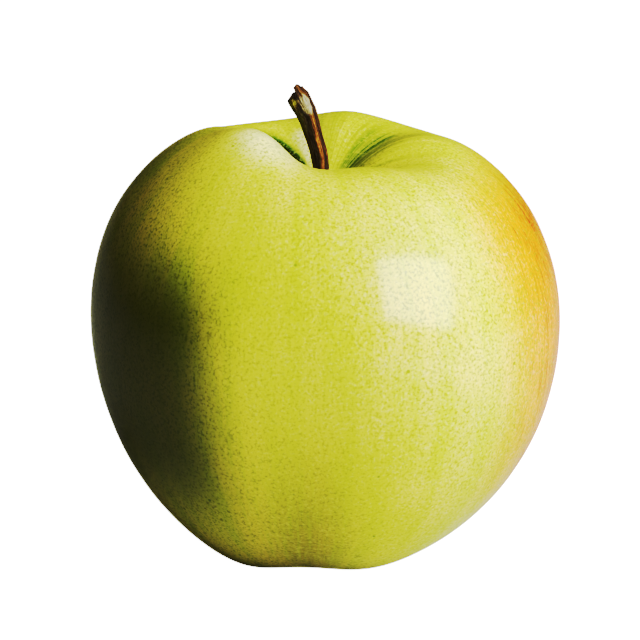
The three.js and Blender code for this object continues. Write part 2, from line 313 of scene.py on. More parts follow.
class Value:
    """A number inside a node tree. Arithmetic on it adds Math nodes to that tree."""

    def __init__(self, tree, socket):
        self.tree = tree
        self.socket = socket

    def math(self, operation, *others):
        node = self.tree.nodes.new("ShaderNodeMath")
        node.operation = operation
        for place, term in enumerate((self, *others)):
            feed(self.tree, node.inputs[place], term)
        return Value(self.tree, node.outputs[0])

    def __add__(self, other):
        return self.math("ADD", other)

    def __sub__(self, other):
        return self.math("SUBTRACT", other)

    def __mul__(self, other):
        return self.math("MULTIPLY", other)

    def __truediv__(self, other):
        return self.math("DIVIDE", other)

    def __pow__(self, other):
        return self.math("POWER", other)

    def __neg__(self):
        return self * -1.0

    def __rsub__(self, other):
        return -self + other

    __radd__ = __add__
    __rmul__ = __mul__

    def sin(self):
        return self.math("SINE")

    def cos(self):
        return self.math("COSINE")

    def exp(self):
        return self.math("EXPONENT")

    def size(self):
        return self.math("ABSOLUTE")

    def at_least(self, other):
        return self.math("MAXIMUM", other)

    def at_most(self, other):
        return self.math("MINIMUM", other)

    def ease(self, low, high):
        """0 below low, 1 above high, and a smooth step between them. With low over high it falls."""
        node = self.tree.nodes.new("ShaderNodeMapRange")
        node.interpolation_type = "SMOOTHSTEP"
        feed(self.tree, node.inputs["Value"], self)
        feed(self.tree, node.inputs["From Min"], low)
        feed(self.tree, node.inputs["From Max"], high)
        return Value(self.tree, node.outputs["Result"])


def feed(tree, socket, term):
    """Links a value to a socket, or sets the socket to a plain number."""
    if isinstance(term, Value):
        tree.links.new(term.socket, socket)
    elif isinstance(term, bpy.types.NodeSocket):
        tree.links.new(term, socket)
    else:
        socket.default_value = term


def add_node(tree, kind, inputs=None, **settings):
    """A new node with its settings and inputs given by name."""
    node = tree.nodes.new(kind)
    for name, value in settings.items():
        setattr(node, name, value)
    for name, term in (inputs or {}).items():
        feed(tree, node.inputs[name], term)
    return node


def vector_of(tree, x, y, z):
    """Three values as one vector socket."""
    return add_node(tree, "ShaderNodeCombineXYZ", {"X": x, "Y": y, "Z": z}).outputs["Vector"]


def parts_of(tree, vector):
    """The three values of a vector socket."""
    node = add_node(tree, "ShaderNodeSeparateXYZ", {"Vector": vector})
    return [Value(tree, node.outputs[axis]) for axis in "XYZ"]


def noise_of(tree, vector, scale, detail=2.0):
    """Smooth noise, about 0 to 1, at a vector times a scale."""
    inputs = {"Vector": vector, "Scale": scale, "Detail": detail}
    return Value(tree, add_node(tree, "ShaderNodeTexNoise", inputs).outputs[0])


def labelled(group):
    """The numbers of a property group by their labels."""
    return {
        item.name: getattr(group, item.identifier)
        for item in group.bl_rna.properties
        if item.type == "FLOAT" and not item.is_array
    }


def shape_tree(name, sizes):
    """An empty Geometry Nodes tree with a named input for each size, and those inputs as values."""
    tree = bpy.data.node_groups.new(name, "GeometryNodeTree")
    tree.interface.new_socket("Geometry", in_out="OUTPUT", socket_type="NodeSocketGeometry")
    for label, value in sizes.items():
        socket = tree.interface.new_socket(label, in_out="INPUT", socket_type="NodeSocketFloat")
        socket.default_value = value
    entry = tree.nodes.new("NodeGroupInput")
    return tree, {label: Value(tree, entry.outputs[label]) for label in sizes}


def wrapped_grid(tree, columns, rows):
    """A flat grid, and the shares from 0 to 1 across and up it."""
    inputs = {"Size X": 1.0, "Size Y": 1.0, "Vertices X": columns + 1, "Vertices Y": rows + 1}
    grid = add_node(tree, "GeometryNodeMeshGrid", inputs).outputs["Mesh"]
    x, y, _ = parts_of(tree, tree.nodes.new("GeometryNodeInputPosition").outputs[0])
    return grid, x + 0.5, y + 0.5


def placed(tree, geometry, vector):
    """The geometry with its points moved to a vector."""
    return add_node(tree, "GeometryNodeSetPosition", {"Geometry": geometry, "Position": vector}).outputs[0]


def stored(tree, geometry, name, kind, value):
    """The geometry with a value kept on its points under a name."""
    node = add_node(tree, "GeometryNodeStoreNamedAttribute", data_type=kind, domain="POINT")
    feed(tree, node.inputs["Geometry"], geometry)
    feed(tree, node.inputs["Name"], name)
    feed(tree, node.inputs["Value"], value)
    return node.outputs[0]


def close_tree(tree, geometry, material):
    """Ends a tree: copies made real, doubles merged, smooth faces, and a material."""
    real = add_node(tree, "GeometryNodeRealizeInstances", {"Geometry": geometry}).outputs[0]
    whole = add_node(tree, "GeometryNodeMergeByDistance", {"Geometry": real, "Distance": 1e-6}).outputs[0]
    smooth = add_node(tree, "GeometryNodeSetShadeSmooth", {"Geometry": whole}).outputs[0]
    painted = add_node(tree, "GeometryNodeSetMaterial", {"Geometry": smooth, "Material": material}).outputs[0]
    feed(tree, tree.nodes.new("NodeGroupOutput").inputs["Geometry"], painted)


def grown(name, tree, sizes):
    """Runs a Geometry Nodes tree once and returns an object that holds its result as a plain mesh."""
    carrier = bpy.data.objects.new(name, bpy.data.meshes.new(name + "_start"))
    bpy.context.scene.collection.objects.link(carrier)
    modifier = carrier.modifiers.new("shape", "NODES")
    modifier.node_group = tree
    for item in tree.interface.items_tree:
        if item.in_out == "INPUT":
            modifier[item.identifier] = sizes[item.name]
    depsgraph = bpy.context.evaluated_depsgraph_get()
    mesh = bpy.data.meshes.new_from_object(
        carrier.evaluated_get(depsgraph), preserve_all_data_layers=True, depsgraph=depsgraph
    )
    if not mesh.polygons:
        raise RuntimeError(name + ": the tree made no faces")
    carrier.modifiers.clear()
    carrier.data = mesh
    mesh.name = name
    return carrier


def moved_points(mesh, offset):
    """Moves the points of a mesh, so that its object can stay at the origin."""
    points = np.zeros(len(mesh.vertices) * 3, np.float32)
    mesh.vertices.foreach_get("co", points)
    points = points.reshape(-1, 3) + np.array(offset, np.float32)
    mesh.vertices.foreach_set("co", points.ravel())
    mesh.update()


def kept_inside(mesh, node):
    """Shrinks a mesh by the hair's breadth that brings it inside the box of a node."""
    low, high = (np.array(corner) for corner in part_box(node))
    points = np.zeros(len(mesh.vertices) * 3, np.float32)
    mesh.vertices.foreach_get("co", points)
    points = points.reshape(-1, 3)
    own_low, own_high = points.min(0), points.max(0)
    share = np.minimum(1, (high - low) / (own_high - own_low))
    points = (points - (own_low + own_high) / 2) * share + (low + high) / 2
    points[:, 2] += low[2] - points[:, 2].min()
    mesh.vertices.foreach_set("co", points.ravel().astype(np.float32))
    mesh.update()


def effect_group(name, inputs, outputs):
    """An empty shader node group with its sockets, and its inputs as values or vector sockets."""
    tree = bpy.data.node_groups.new(name, "ShaderNodeTree")
    for label, (kind, value) in inputs.items():
        socket = tree.interface.new_socket(label, in_out="INPUT", socket_type=kind)
        if value is not None:
            socket.default_value = value
    for label in outputs:
        tree.interface.new_socket(label, in_out="OUTPUT", socket_type="NodeSocketFloat")
    entry = tree.nodes.new("NodeGroupInput")
    exit_node = tree.nodes.new("NodeGroupOutput")
    return tree, entry.outputs, exit_node.inputs


def fleck_group():
    """Flecks: noise on a vector, cut to a soft mask between two levels."""
    if "flecks" in bpy.data.node_groups:
        return bpy.data.node_groups["flecks"]
    inputs = {
        "Vector": ("NodeSocketVector", None),
        "Scale": ("NodeSocketFloat", 1.0),
        "Detail": ("NodeSocketFloat", 2.0),
        "Low": ("NodeSocketFloat", 0.4),
        "High": ("NodeSocketFloat", 0.6),
    }
    tree, entry, leave = effect_group("flecks", inputs, ["Mask"])
    level = noise_of(tree, entry["Vector"], entry["Scale"], entry["Detail"])
    feed(tree, leave["Mask"], level.ease(entry["Low"], entry["High"]))
    return tree


def streak_group():
    """Streaks that run from end to end of a piece. Place holds the cosine and sine of the angle round the
    piece, and the way along it."""
    if "streaks" in bpy.data.node_groups:
        return bpy.data.node_groups["streaks"]
    inputs = {
        "Place": ("NodeSocketVector", None),
        "Across": ("NodeSocketFloat", 10.0),
        "Along": ("NodeSocketFloat", 1.0),
        "Detail": ("NodeSocketFloat", 2.0),
        "Low": ("NodeSocketFloat", 0.4),
        "High": ("NodeSocketFloat", 0.6),
    }
    tree, entry, leave = effect_group("streaks", inputs, ["Mask"])
    x, y, z = parts_of(tree, entry["Place"])
    across = Value(tree, entry["Across"])
    at = vector_of(tree, x * across, y * across, z * Value(tree, entry["Along"]))
    level = noise_of(tree, at, 1.0, entry["Detail"])
    feed(tree, leave["Mask"], level.ease(entry["Low"], entry["High"]))
    return tree


def mask_of(tree, group, **inputs):
    """The mask of a group placed in a material with its own values."""
    node = add_node(tree, "ShaderNodeGroup", node_tree=group)
    for name, term in inputs.items():
        feed(tree, node.inputs[name], term)
    return Value(tree, node.outputs["Mask"])


def mixed(tree, share, first, second):
    """One colour over another, by a share."""
    node = add_node(tree, "ShaderNodeMix", data_type="RGBA")
    feed(tree, node.inputs[0], share)
    for place, term in ((6, first), (7, second)):
        feed(tree, node.inputs[place], term if isinstance(term, bpy.types.NodeSocket) else (*term, 1.0))
    return node.outputs[2]


def attribute_of(tree, name):
    """A vector that the mesh keeps on its points."""
    return add_node(tree, "ShaderNodeAttribute", attribute_name=name).outputs["Vector"]


def mask_kept(tree, name):
    """A number that the mesh keeps on its points."""
    return Value(tree, add_node(tree, "ShaderNodeAttribute", attribute_name=name).outputs["Fac"])


def new_finish(name):
    """A new material, its tree and its Principled shader."""
    material = bpy.data.materials.new(name)
    material.use_nodes = True
    return material, material.node_tree, material.node_tree.nodes["Principled BSDF"]


def bumped(tree, shader, height, distance):
    """Feeds a height through a Bump node to the shader's normal."""
    node = add_node(tree, "ShaderNodeBump", {"Height": height, "Distance": distance, "Strength": 1.0})
    feed(tree, shader.inputs["Normal"], node.outputs[0])


def layered(tree, base, layers):
    """Colours laid over a base one after the other, each by its share."""
    for share, over in layers:
        base = mixed(tree, share, base, over)
    return base


def object_coordinates(tree):
    """The place of a point on its own object, in metres."""
    return tree.nodes.new("ShaderNodeTexCoord").outputs["Object"]


def skin_finish(colours):
    """The waxy skin: grained yellow and green, streaked along the fruit, with dots and a blush, and with
    painted light and shade round the cavity, down the front and on the left side.
    """
    material, tree, shader = new_finish("apple_skin")
    flecks, streaks = fleck_group(), streak_group()
    here = object_coordinates(tree)
    place = attribute_of(tree, "skin_place")
    east, north, down = parts_of(tree, place)
    hollow = mask_kept(tree, "cavity")
    basin = mask_kept(tree, "basin")

    # Broad drifts from yellow to green, streaks that follow the fruit from stalk to eye, and a brownish band
    # of painted shade in the valley down the front.
    drift = mask_of(tree, flecks, Vector=here, Scale=70.0, Detail=2.0, Low=0.35, High=0.68)
    broad = mask_of(tree, streaks, Place=place, Across=9.0, Along=0.7, Detail=2.0, Low=0.38, High=0.66)
    fine = mask_of(tree, streaks, Place=place, Across=60.0, Along=3.2, Detail=3.0, Low=0.44, High=0.7)
    base = mixed(tree, drift * 0.35 + broad * 0.35, colours.yellow, colours.green)
    # The band is painted shade in the valley down the front.
    band = mask_kept(tree, "valley")
    base = layered(tree, base, [(band * 0.55, colours.valley), (fine * 0.3, colours.green)])

    # The walls of the cavity are streaked with green. Painted light makes the lit face of the highest lobe
    # and a lit facet of the wall pale, and painted shade darkens the trough right of the stalk and the furrow
    # behind the lobe.
    wall_streaks = mask_of(
        tree, streaks, Place=place, Across=26.0, Along=0.8, Detail=4.0, Low=0.42, High=0.62
    )
    # Painted light on the lit face of the highest lobe and on a lit facet of the cavity wall.
    pale = (mask_kept(tree, "lobe_light") * 0.75 + mask_kept(tree, "wall_light")).at_most(1.0)
    furrow = mask_kept(tree, "furrow_shadow")
    layers = [
        (hollow.ease(0.3, 0.75) * (wall_streaks * 0.36 + 0.12), colours.deep_green_and_shade),
        (pale * 0.7, colours.cream_and_light),
        # Painted shade on the trough right of the stalk, whose wall faces away from the key light.
        (mask_kept(tree, "trough_shade") * (wall_streaks * 0.35 + 0.6), colours.deep_green_and_shade),
        # Painted shadow down the furrow behind the highest lobe.
        (furrow.ease(0.0, 0.55), colours.deep_green_and_shade),
        (furrow.ease(0.3, 0.8), colours.shadow),
    ]
    base = layered(tree, base, layers)

    # The blush: a golden ground with short red streaks, on the side that had the sun.
    sun = east * 0.95 + north * 0.3
    high = down.ease(0.45, 0.9) * down.ease(2.5, 1.7)
    marks = mask_of(tree, streaks, Place=place, Across=42.0, Along=5.0, Detail=3.0, Low=0.5, High=0.66)
    thin = mask_of(tree, streaks, Place=place, Across=90.0, Along=8.0, Detail=2.0, Low=0.48, High=0.68)
    reds = ((marks + thin * 0.9) * sun.ease(0.42, 1.0) * high).at_most(0.85)
    base = layered(tree, base, [(sun.ease(0.36, 0.92) * high * 0.95, colours.gold), (reds, colours.red)])

    # Fine grain, less than half a millimetre across, dark and pale. Painted shade darkens the left front
    # side, which faces away from the lights.
    grain = mask_of(tree, flecks, Vector=here, Scale=2300.0, Detail=5.0, Low=0.46, High=0.7)
    light_grain = mask_of(tree, flecks, Vector=here, Scale=1900.0, Detail=5.0, Low=0.48, High=0.7)
    painted_side_shade = (east * -0.94 + north * -0.34).ease(0.62, 0.9) * down.ease(0.75, 1.2) * down.ease(2.35, 1.7)

    # The dots through which the skin breathes.
    spots = add_node(tree, "ShaderNodeTexVoronoi", {"Vector": here, "Scale": 230.0, "Randomness": 1.0})
    distance = Value(tree, spots.outputs["Distance"])
    chosen = parts_of(tree, spots.outputs["Color"])[0].ease(0.45, 0.6)
    dots = distance.ease(0.085, 0.035) * chosen

    # Rough brown skin at the foot of the stalk and round the eye.
    rough = mask_of(tree, flecks, Vector=here, Scale=420.0, Detail=4.0, Low=0.4, High=0.62)
    russet = (hollow.ease(0.95, 1.0) * 0.4 + basin.ease(0.55, 1.0)).at_most(1.0) * (rough * 0.6 + 0.4)
    layers = [
        (grain * 0.6, colours.grain),
        (light_grain * 0.16, colours.cream_and_light),
        # Painted shade on the left front side.
        (painted_side_shade * 0.75, colours.painted_shade),
        (dots * 0.75, colours.dot),
        (russet * 0.75, colours.russet),
    ]
    base = layered(tree, base, layers)

    feed(tree, shader.inputs["Base Color"], base)
    feed(tree, shader.inputs["Roughness"], 0.44 + grain * 0.05 + russet * 0.3)
    shader.inputs["Specular IOR Level"].default_value = 0.06
    shader.inputs["Coat Weight"].default_value = 0.5
    shader.inputs["Coat Roughness"].default_value = 0.16
    shader.inputs["Subsurface Weight"].default_value = 0.08
    shader.inputs["Subsurface Radius"].default_value = (1.0, 0.8, 0.25)
    shader.inputs["Subsurface Scale"].default_value = 1.5 * MM
    relief = grain * 0.5 + noise_of(tree, here, 650.0, 3.0) + fine * 0.3 - dots * 0.8
    bumped(tree, shader, relief, 0.012 * MM)
    return material


def fruit_tree(sizes, material):
    """The skin of the fruit as one rule: a ribbed outline with the cavity and the basin sunk in its ends."""
    tree, size = shape_tree("apple_fruit_shape", sizes)
    grid, turned, up = wrapped_grid(tree, SKIN_COLUMNS, SKIN_ROWS)
    around = turned * TURN
    from_stalk = (1.0 - (up - (up * TURN).sin() * (ROW_CROWDING / TURN))) * math.pi
    sine, cosine = from_stalk.sin(), from_stalk.cos()

    radius = (
        size["Waist radius"] * sine
        + size["Shoulder fullness"] * (from_stalk * 2.0).sin()
        + size["Flank roundness"] * (from_stalk * 3.0).sin()
    ).size()
    height = (
        size["Half height"] * cosine
        + size["End lift"] * (from_stalk * 2.0).cos()
        + size["End point"] * (from_stalk * 3.0).cos()
    )

    swell = {"shoulder": 0.0, "waist": 0.0, "foot": 0.0}
    for number in range(1, len(RIBS) + 1):
        at = size[f"Rib {number} angle"]
        lobes = {"shoulder": lobe(around, at, size[f"Rib {number} sharpness"])}
        lobes["waist"] = lobes["foot"] = lobe(around, at, size["Rib sharpness"])
        for place in swell:
            swell[place] = size[f"Rib {number} {place}"] * lobes[place] + swell[place]

    near_top = cosine.ease(0.0, size["Rib fade"])
    near_foot = (-cosine).ease(0.0, size["Rib fade"])
    tilt = size["High side lift"] * (around - size["High side angle"] * math.radians(1)).cos()
    shoulder = ring(radius, size["Shoulder ring radius"]) * (swell["shoulder"] + tilt)
    bowl_share = bell(radius, size["Cavity radius"], size["Cavity power"])
    throat_share = bell(radius, size["Throat radius"], 2.0)
    hollow = size["Cavity depth"] * bowl_share + size["Throat depth"] * throat_share
    furrow = lobe(around, size["Furrow angle"], size["Furrow sharpness"])
    furrow = furrow * ring(radius, size["Furrow radius"])
    height = height + near_top * (shoulder - hollow - size["Furrow depth"] * furrow)

    basin_share = bell(radius, size["Basin radius"], size["Basin power"])
    eye_share = bell(radius, size["Eye radius"], 4.0)
    lobes = ring(radius, size["Foot ring radius"]) * swell["foot"]
    height = height - near_foot * (
        lobes - size["Basin depth"] * basin_share - size["Eye depth"] * eye_share
    )
    height = height.at_least(size["Rest level"])

    valley = lobe(around, size["Valley angle"], size["Valley sharpness"])
    flank = sine * sine
    out = radius + swell["waist"] * flank * (size["Rib upward swell"] * cosine + 1.0)
    out = out - size["Valley depth"] * valley * flank * (1.0 - cosine * 0.5)
    east, north = around.cos(), around.sin()
    x = out * east + size["Top shift"] * cosine * cosine
    y = out * north

    # Shallow dents, which pull the skin towards the middle and leave the lobes that it stands on.
    facing = vector_of(tree, east * sine, north * sine, cosine)
    lumps = noise_of(tree, facing, 3.2, 1.0) * size["Lump depth"]
    ripples = noise_of(tree, facing, 11.0) * size["Ripple depth"]
    pull = 1.0 - (lumps + ripples) / size["Waist radius"] * (-cosine).ease(0.9, 0.6)

    # The marks are kept while the grid is still flat, because its shares are read from its points.
    skin = stored(tree, grid, "skin_place", "FLOAT_VECTOR", vector_of(tree, east, north, from_stalk))
    skin = stored(tree, skin, "cavity", "FLOAT", near_top * bowl_share)
    skin = stored(tree, skin, "basin", "FLOAT", near_foot * basin_share)
    for name, (angle, spread, begins, full, fades, gone) in SKIN_PATCHES.items():
        sharpness = 2 / math.radians(spread) ** 2
        there = lobe(around, angle, sharpness) * near_top
        reach = radius.ease(begins * MM, full * MM) * radius.ease(gone * MM, fades * MM)
        skin = stored(tree, skin, name, "FLOAT", there * reach)
    # The painted shadow in the furrow: darkest just past its near edge, and fading further round and further
    # out.
    begins, full, fades, gone = (distance * MM for distance in SHADOW_REACH)
    soft, fade_start, fade_end = (math.radians(angle) for angle in (SHADOW_EDGE_SOFTNESS, *SHADOW_FADE))
    past_edge = around - radius * (math.radians(SHADOW_EDGE_TURN) / MM) - math.radians(SHADOW_EDGE_START)
    dark = past_edge.ease(-soft, soft) * past_edge.ease(fade_end, fade_start)
    reach = radius.ease(begins, full) * radius.ease(gone, fades)
    skin = stored(tree, skin, "furrow_shadow", "FLOAT", dark * reach * near_top)
    # A brownish band of painted shade down the valley on the front, on the lower half of the fruit.
    valley_shade = lobe(around, VALLEY_SHADE_ANGLE, VALLEY_SHADE_SHARPNESS) * from_stalk.ease(1.1, 2.3)
    skin = stored(tree, skin, "valley", "FLOAT", valley_shade * from_stalk.ease(2.85, 2.45))
    skin = placed(tree, skin, vector_of(tree, x * pull, y * pull, height * pull))
    close_tree(tree, skin, material)
    return tree


def lobe(around, angle, sharpness):
    """A hump of height 1 at one angle round the axis, given in degrees, which fades on both sides of it."""
    return (((around - angle * math.radians(1)).cos() - 1.0) * sharpness).exp()


def ring(radius, ring_radius):
    """A hump of height 1 at a ring of the given radius, which fades on both sides of it."""
    ratio = (radius / ring_radius) ** 2.0
    return ratio * (1.0 - ratio).exp()


def bell(radius, bell_radius, power):
    """1 on the axis, and falling past the given radius."""
    return (-((radius / bell_radius) ** power)).exp()


class APPLE_OT_grow_fruit(bpy.types.Operator):
    """Makes the fruit: its skin from the stalk's cavity to the eye"""

    bl_idname = "apple.grow_fruit"
    bl_label = "Grow the fruit"

    def execute(self, context):
        settings = context.scene.apple
        sizes = labelled(settings.fruit)
        for number, rib in enumerate(RIBS, 1):
            sizes[f"Rib {number} angle"] = rib["angle"]
            sizes[f"Rib {number} sharpness"] = rib["sharpness"]
            for place in ("shoulder", "waist", "foot"):
                sizes[f"Rib {number} {place}"] = rib[place] * MM
        tree = fruit_tree(sizes, skin_finish(settings.skin))
        fruit = grown("fruit_skin", tree, sizes)
        kept_inside(fruit.data, "fruit")
        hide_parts("fruit")
        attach(fruit, "root")
        return {"FINISHED"}


class StalkLine:
    """The centre line and the half width of the stalk, by the distance up it from its foot. Millimetres."""

    def __init__(self):
        knots = np.array(STALK_SECTIONS)
        ends = np.vstack([2 * knots[0] - knots[1], knots, 2 * knots[-1] - knots[-2]])
        line = []
        for number in range(1, len(knots)):
            before, start, end, after = ends[number - 1 : number + 3]
            for t in np.linspace(0, 1, 24, endpoint=False):
                line.append(
                    0.5
                    * (
                        2 * start
                        + (end - before) * t
                        + (2 * before - 5 * start + 4 * end - after) * t**2
                        + (3 * start - 3 * end + after - before) * t**3
                    )
                )
        line.append(knots[-1])
        self.line = np.array(line)
        steps = np.hypot(np.diff(self.line[:, 0]), np.diff(self.line[:, 1]))
        self.distance = np.concatenate([[0], np.cumsum(steps)])
        self.total = self.distance[-1]
        lean = np.arctan2(np.gradient(self.line[:, 1]), np.gradient(self.line[:, 0]))
        self.lean = np.convolve(np.pad(lean, 12, "edge"), np.ones(25) / 25, "valid")

    def at(self, distance):
        """Height, shift, lean and half width. Past the last section the line runs on straight."""
        height = float(np.interp(distance, self.distance, self.line[:, 0]))
        shift = float(np.interp(distance, self.distance, self.line[:, 1]))
        lean = float(np.interp(distance, self.distance, self.lean))
        half = float(np.interp(distance, self.distance, self.line[:, 2]))
        past = distance - self.total
        if past > 0:
            height += past * math.cos(lean)
            shift += past * math.sin(lean)
            half = float(np.interp(past, *zip(*STALK_END_WIDTHS)))
        return height, shift, lean, half


def eased(value, low, high):
    """0 below low, 1 above high, and a smooth step between them. With low over high it falls."""
    share = min(1.0, max(0.0, (value - low) / (high - low)))
    return share * share * (3 - 2 * share)


def hump(gap, width):
    """1 at no gap, and falling to nothing past the given width."""
    return math.exp(-((gap / width) ** 2))


def turn_gap(angle, other):
    """The smaller angle between two directions round the stalk."""
    return abs((angle - other + math.pi) % TURN - math.pi)


def stalk_relief(angle, distance, total):
    """How far the bark stands out at a place on the stalk, in millimetres, and how much it is on a ridge."""
    ridges = 0.0
    highlit = 0.0
    for number, height in enumerate(STALK_RIDGE_HEIGHTS):
        crest = STALK_FRONT_RIDGE + TURN * number / len(STALK_RIDGE_HEIGHTS) + STALK_TWIST * distance / total
        on_crest = hump(turn_gap(angle, crest), STALK_RIDGE_WIDTH)
        ridges += height * on_crest
        if number == 0:
            # The front crest carries a painted highlight.
            highlit = on_crest
    c, s = math.cos(angle), math.sin(angle)
    folds = noise.noise(Vector((c * 3.2, s * 3.2, distance * 0.22 + 7)))
    wrinkles = noise.noise(Vector((c * 8.0, s * 8.0, distance * 0.5 + 21)))
    fibres = noise.noise(Vector((c * 19.0, s * 19.0, distance * 0.9 + 3)))
    cracks = noise.noise(Vector((c * 4.0, s * 4.0, distance * 3.1 + 40)))
    relief = ridges + 0.1 * folds + 0.085 * wrinkles + 0.045 * fibres + 0.03 * cracks
    return relief, highlit, 0.5 + 0.9 * wrinkles + 0.5 * fibres + 1.2 * ridges / max(STALK_RIDGE_HEIGHTS) - 0.35


def stalk_marks(angle, past, highlit):
    """How much of each mark is at a place on the stalk. Past is the distance past the last section."""
    ragged = 0.25 * noise.noise(Vector((math.cos(angle) * 6, math.sin(angle) * 6, past * 1.3)))
    front_right = hump(turn_gap(angle, math.radians(-63)), 0.55)
    left = hump(turn_gap(angle, math.radians(-132)), 0.55)
    far_left = hump(turn_gap(angle, math.radians(-150)), 0.8)
    rim = hump(turn_gap(angle, math.radians(-22)), 0.3)
    return {
        # The grey patch is a painted highlight on the front right side, which faces the key light.
        "grey_highlight": min(1.0, 1.6 * front_right * hump(past + 1.0, 1.75) + ragged),
        "lichen": min(1.0, 1.4 * left * hump(past - 0.1, 0.8) + ragged),
        "olive": min(1.0, 1.2 * far_left * hump(past + 2.9, 3.0) + ragged),
        # The front crest and the right rim carry a painted highlight.
        "highlit": min(1.0, max(highlit, 0.6 * rim) * (0.45 + 0.55 * hump(past + 7.5, 5.5)) + 0.4 * ragged),
    }


def stalk_mesh(material):
    """The stalk as rings of points from its foot to the edge of the break, closed by the torn end."""
    line = StalkLine()
    points, marks = [], []
    rim_start = line.total - STALK_RIM_DEPTH
    break_places, break_heights = zip(*STALK_BREAK)

    def rim(angle):
        """Where the edge of the break is in one direction: distance past the last section."""
        across = STALK_BREAK_REACH * math.cos(angle)
        jag = STALK_BREAK_JAG * noise.noise(Vector((math.cos(angle) * 9, math.sin(angle) * 9, 5.0)))
        front = STALK_BREAK_TILT * -math.sin(angle)
        return float(np.interp(across, break_places, break_heights)) + jag + front

    def bark_point(angle, distance):
        height, shift, lean, half = line.at(distance)
        relief, highlit, ridge = stalk_relief(angle, distance, line.total)
        radius = half + relief
        across = radius * math.cos(angle)
        across -= STALK_HOOK * eased(distance - line.total, 1.5, 2.2) * eased(across, 1.0, 0.6)
        depth = STALK_FLATNESS * radius * math.sin(angle)
        at = Vector((shift + across * math.cos(lean), depth, height - across * math.sin(lean)))
        return at, highlit, ridge

    angles = [TURN * side / STALK_SIDES for side in range(STALK_SIDES)]
    for row in range(STALK_ROWS + 1):
        share = row / STALK_ROWS
        for angle in angles:
            if share < STALK_STRAIGHT_SHARE:
                distance = rim_start * share / STALK_STRAIGHT_SHARE
            else:
                rest = (share - STALK_STRAIGHT_SHARE) / (1 - STALK_STRAIGHT_SHARE)
                distance = rim_start + rest * (STALK_RIM_DEPTH + rim(angle))
            at, highlit, ridge = bark_point(angle, distance)
            points.append(at)
            kept = stalk_marks(angle, distance - line.total, highlit)
            kept.update(ridge=ridge, torn=0.0, place=(math.cos(angle), math.sin(angle), distance * 0.1))
            marks.append(kept)

    # The torn end: rings that shrink to the middle and sink a little, with fibres standing up from them.
    edge = points[-STALK_SIDES:]
    middle = sum(edge, Vector()) / STALK_SIDES
    lean = line.lean[-1]
    along = Vector((math.sin(lean), 0, math.cos(lean)))
    for ring_number in range(1, STALK_END_RINGS + 1):
        inward = ring_number / (STALK_END_RINGS + 1)
        for side, angle in enumerate(angles):
            at = edge[side].lerp(middle, inward)
            fibre = noise.noise(at * 2.4) * 0.25 + noise.noise(at * 6.0) * 0.14
            sink = STALK_END_SINK * (1 - (1 - inward) ** 3)
            points.append(at + along * (fibre * min(1, 4 * inward) - sink))
            kept = dict.fromkeys(("grey_highlight", "lichen", "olive", "highlit"), 0.0)
            kept.update(ridge=0.5 + 2 * fibre, torn=min(1, 3 * inward))
            kept.update(place=(math.cos(angle) * inward, math.sin(angle) * inward, at.x))
            marks.append(kept)

    foot_height, foot_shift, _, _ = line.at(0)
    points.append(Vector((foot_shift, 0, foot_height)))
    marks.append(dict(marks[0]))
    points.append(middle - along * STALK_END_SINK)
    marks.append(dict(marks[-2], torn=1.0))

    faces = []
    for row in range(STALK_ROWS + STALK_END_RINGS):
        for side in range(STALK_SIDES):
            here, after = row * STALK_SIDES + side, row * STALK_SIDES + (side + 1) % STALK_SIDES
            faces.append((here, after, after + STALK_SIDES, here + STALK_SIDES))
    last = (STALK_ROWS + STALK_END_RINGS) * STALK_SIDES
    for side in range(STALK_SIDES):
        after = (side + 1) % STALK_SIDES
        faces.append((len(points) - 2, after, side))
        faces.append((last + side, last + after, len(points) - 1))

    mesh = bpy.data.meshes.new("stalk")
    mesh.from_pydata([point * MM for point in points], [], faces)
    for name in ("grey_highlight", "lichen", "olive", "highlit", "ridge", "torn"):
        kept = mesh.attributes.new(name, "FLOAT", "POINT")
        kept.data.foreach_set("value", [mark[name] for mark in marks])
    kept = mesh.attributes.new("stalk_place", "FLOAT_VECTOR", "POINT")
    kept.data.foreach_set("vector", [number for mark in marks for number in mark["place"]])
    mesh.polygons.foreach_set("use_smooth", [True] * len(mesh.polygons))
    mesh.materials.append(material)
    mesh.update()
    return mesh


